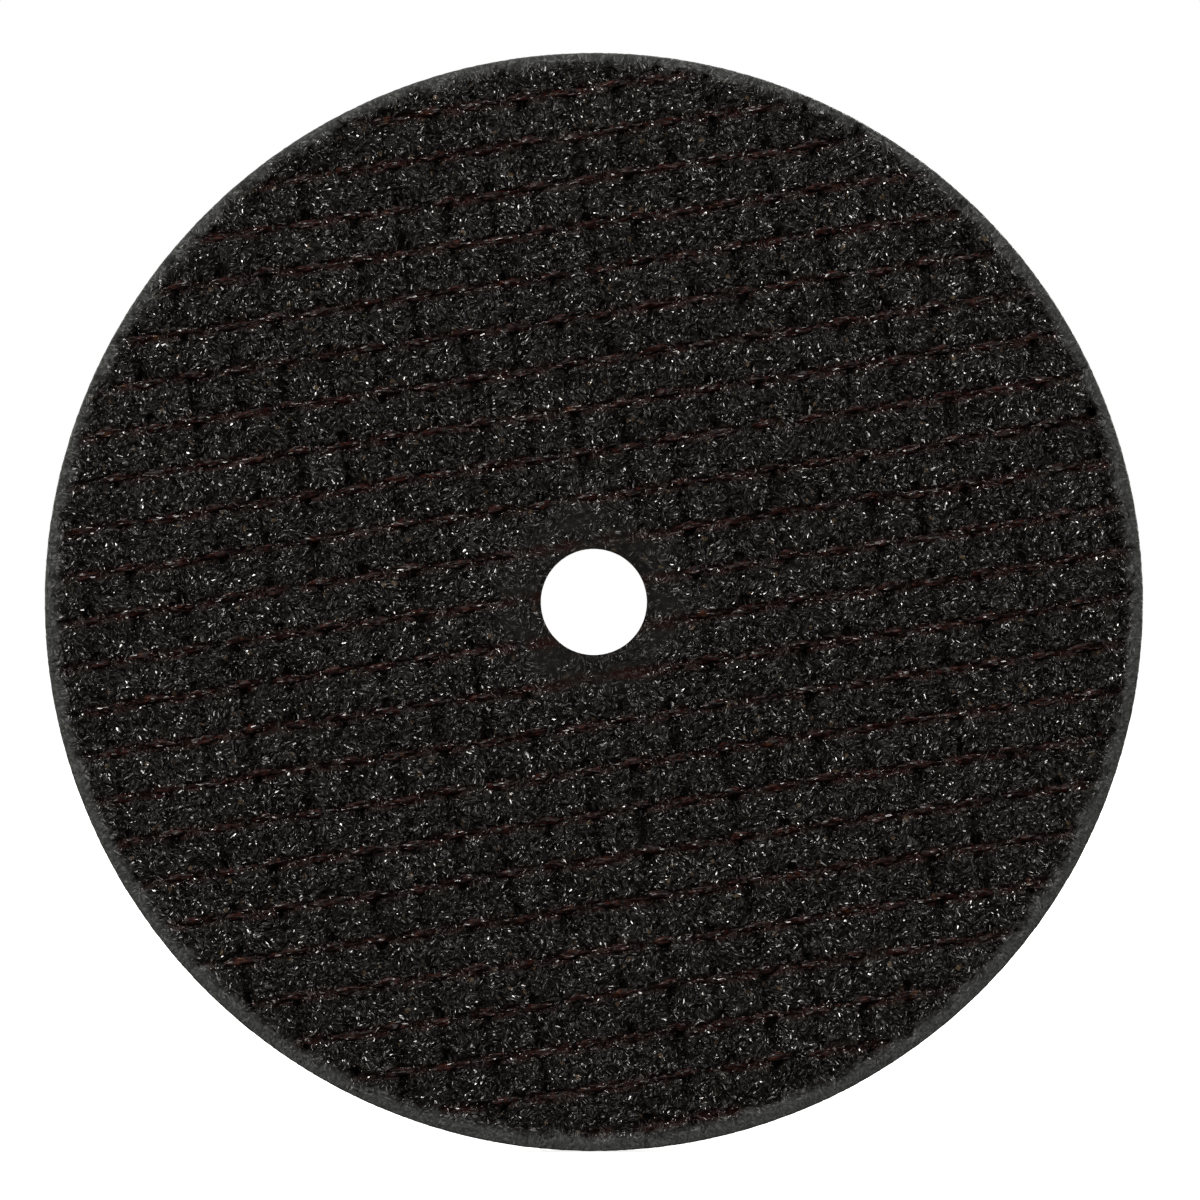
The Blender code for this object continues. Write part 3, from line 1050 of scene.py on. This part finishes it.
def chords(direction, inner, outer):
    """(number, start, end) of each stretch of yarn that shows between two circles."""
    found = []
    for number, offset in enumerate(direction.offsets):
        if abs(offset) > outer - 2 * MM:
            continue
        middle, along = direction.across * offset, direction.along
        far = math.sqrt(outer ** 2 - offset ** 2)
        if abs(offset) > inner:
            found.append((number, middle - along * far, middle + along * far))
            continue
        near = math.sqrt(inner ** 2 - offset ** 2)
        found.append((number, middle - along * far, middle - along * near))
        found.append((number, middle + along * near, middle + along * far))
    return found


def build_rear_strands(leno_material, fill_material):
    """The rear cloth's strands, where its crust is open to view outside the blotter."""
    reach, hidden = CLOTH_RADIUS - 0.5 * MM, BLOTTER_RADIUS - 1.5 * MM
    leno, fill = Skin(), Skin()
    for number, start, end in chords(REAR_LENO, hidden, reach):
        add_leno_pair(leno, start, end, REAR_LENO, REAR_FILL, REAR_FACE_Y, number)
    for _, start, end in chords(REAR_FILL, hidden, reach):
        add_fill_strand(fill, start, end, REAR_FILL, REAR_FACE_Y)
    named = (
        ("rear_leno_strands", leno, leno_material),
        ("rear_fill_strands", fill, fill_material),
    )
    for name, skin, material in named:
        mesh = skin.mesh(name, smooth=True, mirrored=True, unwrapped=False)
        piece = add_piece(name, mesh, material)
        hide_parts("rear_glass_cloth")


def build_blotter(material):
    """A paper disc that has taken on the weave and the grain under it."""
    outer = BLOTTER_RADIUS - 0.05 * MM
    flat, triangles, (bore_loop, rim_loop) = grain_lattice(
        BORE_RADIUS, outer, PAPER_SPACING, PAPER_LATTICE,
    )
    to_fill = np.abs(distance_to_yarn(flat, REAR_FILL)) / (REAR_FILL.pitch / 2)
    to_leno = np.abs(distance_to_yarn(flat, REAR_LENO)) / (REAR_LENO.pitch / 2)
    pressed = 1 - smoothstep(np.minimum(to_fill, to_leno) * 1.6)
    pressed *= np.clip(0.7 + 0.6 * soft_noise(flat, PAPER_PATCHES), 0, 1)
    wrinkles = soft_noise(flat, PAPER_WRINKLES) * 0.012 * MM
    waves = soft_noise(flat, PAPER_WAVES) * 0.02 * MM
    depth = 0.03 * MM + 0.08 * MM * pressed + wrinkles + waves
    depth[rim_loop] += 0.02 * MM
    skin = Skin()
    radius = np.linalg.norm(flat, axis=1)
    path = np.interp(radius, (BORE_RADIUS, outer), (0.07, 0.47))
    points = np.stack([flat[:, 0], -blotter_high.y + depth, flat[:, 1]], 1)
    skin.add(points, triangles, np.repeat(pressed[:, None], 4, 1), path)
    back_y = -blotter_low.y
    rim, wall = [(outer, back_y, 0.0)], [(BORE_RADIUS, back_y, 0.0)]
    rim_end = round_wall(
        skin, rim_loop, flat[rim_loop], rim, PAPER_RIM_WALL, (0.48, 0.48), (0, 0, 0, 0),
    )
    bore_end = round_wall(
        skin, bore_loop, flat[bore_loop], wall, PAPER_BORE_WALL, (0.06, 0.06), (0, 0, 0, 0),
    )
    skin.close_ring(rim_end, bore_end, 1)
    mesh = skin.mesh("blotter_disc", smooth=True, mirrored=True)
    mesh.set_sharp_from_angle(angle=math.radians(50))
    piece = add_piece("blotter_disc", mesh, material)
    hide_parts("rear_paper_blotter")


# ---------------------------------------------------------------- stage


def add_area(name, place, size, radiance):
    """A soft box aimed at the wheel's centre, of the given brightness."""
    data = bpy.data.lights.new(name, "AREA")
    data.shape = "RECTANGLE"
    data.size, data.size_y = size
    data.energy = radiance * math.pi * size[0] * size[1]
    data.color = WARM_LIGHT
    light = bpy.data.objects.new(name, data)
    light.location = place
    light.rotation_euler = (-Vector(place)).to_track_quat("-Z", "Y").to_euler()
    light.visible_camera = False
    bpy.context.scene.collection.objects.link(light)


def add_sun(name, direction, irradiance, angle):
    data = bpy.data.lights.new(name, "SUN")
    data.energy = irradiance
    data.angle = angle
    light = bpy.data.objects.new(name, data)
    light.rotation_euler = Vector(direction).to_track_quat("-Z", "Y").to_euler()
    bpy.context.scene.collection.objects.link(light)


def build_world():
    """White behind everything, and a dim even fill for the light itself."""
    world = bpy.data.worlds.new("studio")
    bpy.context.scene.world = world
    world.use_nodes = True
    nodes, links = world.node_tree.nodes, world.node_tree.links
    nodes.clear()
    path = nodes.new("ShaderNodeLightPath")
    bright = nodes.new("ShaderNodeBackground")
    bright.inputs["Color"].default_value = (1, 1, 1, 1)
    bright.inputs["Strength"].default_value = 1.0
    dim = nodes.new("ShaderNodeBackground")
    dim.inputs["Color"].default_value = (1, 1, 1, 1)
    dim.inputs["Strength"].default_value = WORLD_FILL
    pick = nodes.new("ShaderNodeMixShader")
    output = nodes.new("ShaderNodeOutputWorld")
    links.new(path.outputs["Is Camera Ray"], pick.inputs["Fac"])
    links.new(dim.outputs[0], pick.inputs[1])
    links.new(bright.outputs[0], pick.inputs[2])
    links.new(pick.outputs[0], output.inputs["Surface"])


def build_stage():
    mesh = bpy.data.meshes.new("floor")
    side = FLOOR_HALF_WIDTH
    z = core_low.z - FLOOR_GAP
    corners = [(-side, -side, z), (side, -side, z), (side, side, z), (-side, side, z)]
    mesh.from_pydata(corners, [], [(0, 1, 2, 3)])
    mesh.materials.append(floor_material())
    floor = bpy.data.objects.new("floor", mesh)
    bpy.context.scene.collection.objects.link(floor)
    floor.visible_diffuse = False
    floor.visible_glossy = False
    add_sun("overhead", (0, 0.15, -1), SUN_IRRADIANCE, SUN_ANGLE)
    for end, turn in (("front", 1), ("rear", -1)):
        for name, (x, y, z), size, radiance in SOFT_BOXES:
            add_area(f"{end}_{name}", (turn * x, turn * y, z), size, radiance)
    build_world()
    bpy.context.scene.view_settings.view_transform = "Standard"


def build_camera():
    """A long lens square on to the front face, as far away as makes the wheel fill the frame."""
    data = bpy.data.cameras.new("camera")
    data.lens, data.sensor_width = LENS, SENSOR
    data.clip_start, data.clip_end = 0.01, 20.0
    camera = bpy.data.objects.new("camera", data)
    camera.location = (AIM[0], FRONT_Y - FRAME_WIDTH * LENS / SENSOR, AIM[1])
    camera.rotation_euler = (math.pi / 2, 0, 0)
    bpy.context.scene.collection.objects.link(camera)
    bpy.context.scene.camera = camera


# ---------------------------------------------------------------- build


black_grain = abrasive_material()
build_core(black_grain)
build_rear_cloth(black_grain)
leno_material = strand_material("resin_red_strand", LENO.along, *LENO_COLOURS)
fill_material = strand_material("dark_fill_strand", FILL.along, *FILL_COLOURS)
for number, node in enumerate(yarn_nodes("leno")):
    build_leno_yarn(node, number, leno_material)
for node in yarn_nodes("fill"):
    build_fill_yarn(node, fill_material)
build_rear_strands(
    strand_material("rear_resin_red_strand", REAR_LENO.along, *LENO_COLOURS),
    strand_material("rear_dark_fill_strand", REAR_FILL.along, *FILL_COLOURS),
)
build_blotter(paper_material())
build_stage()
build_camera()
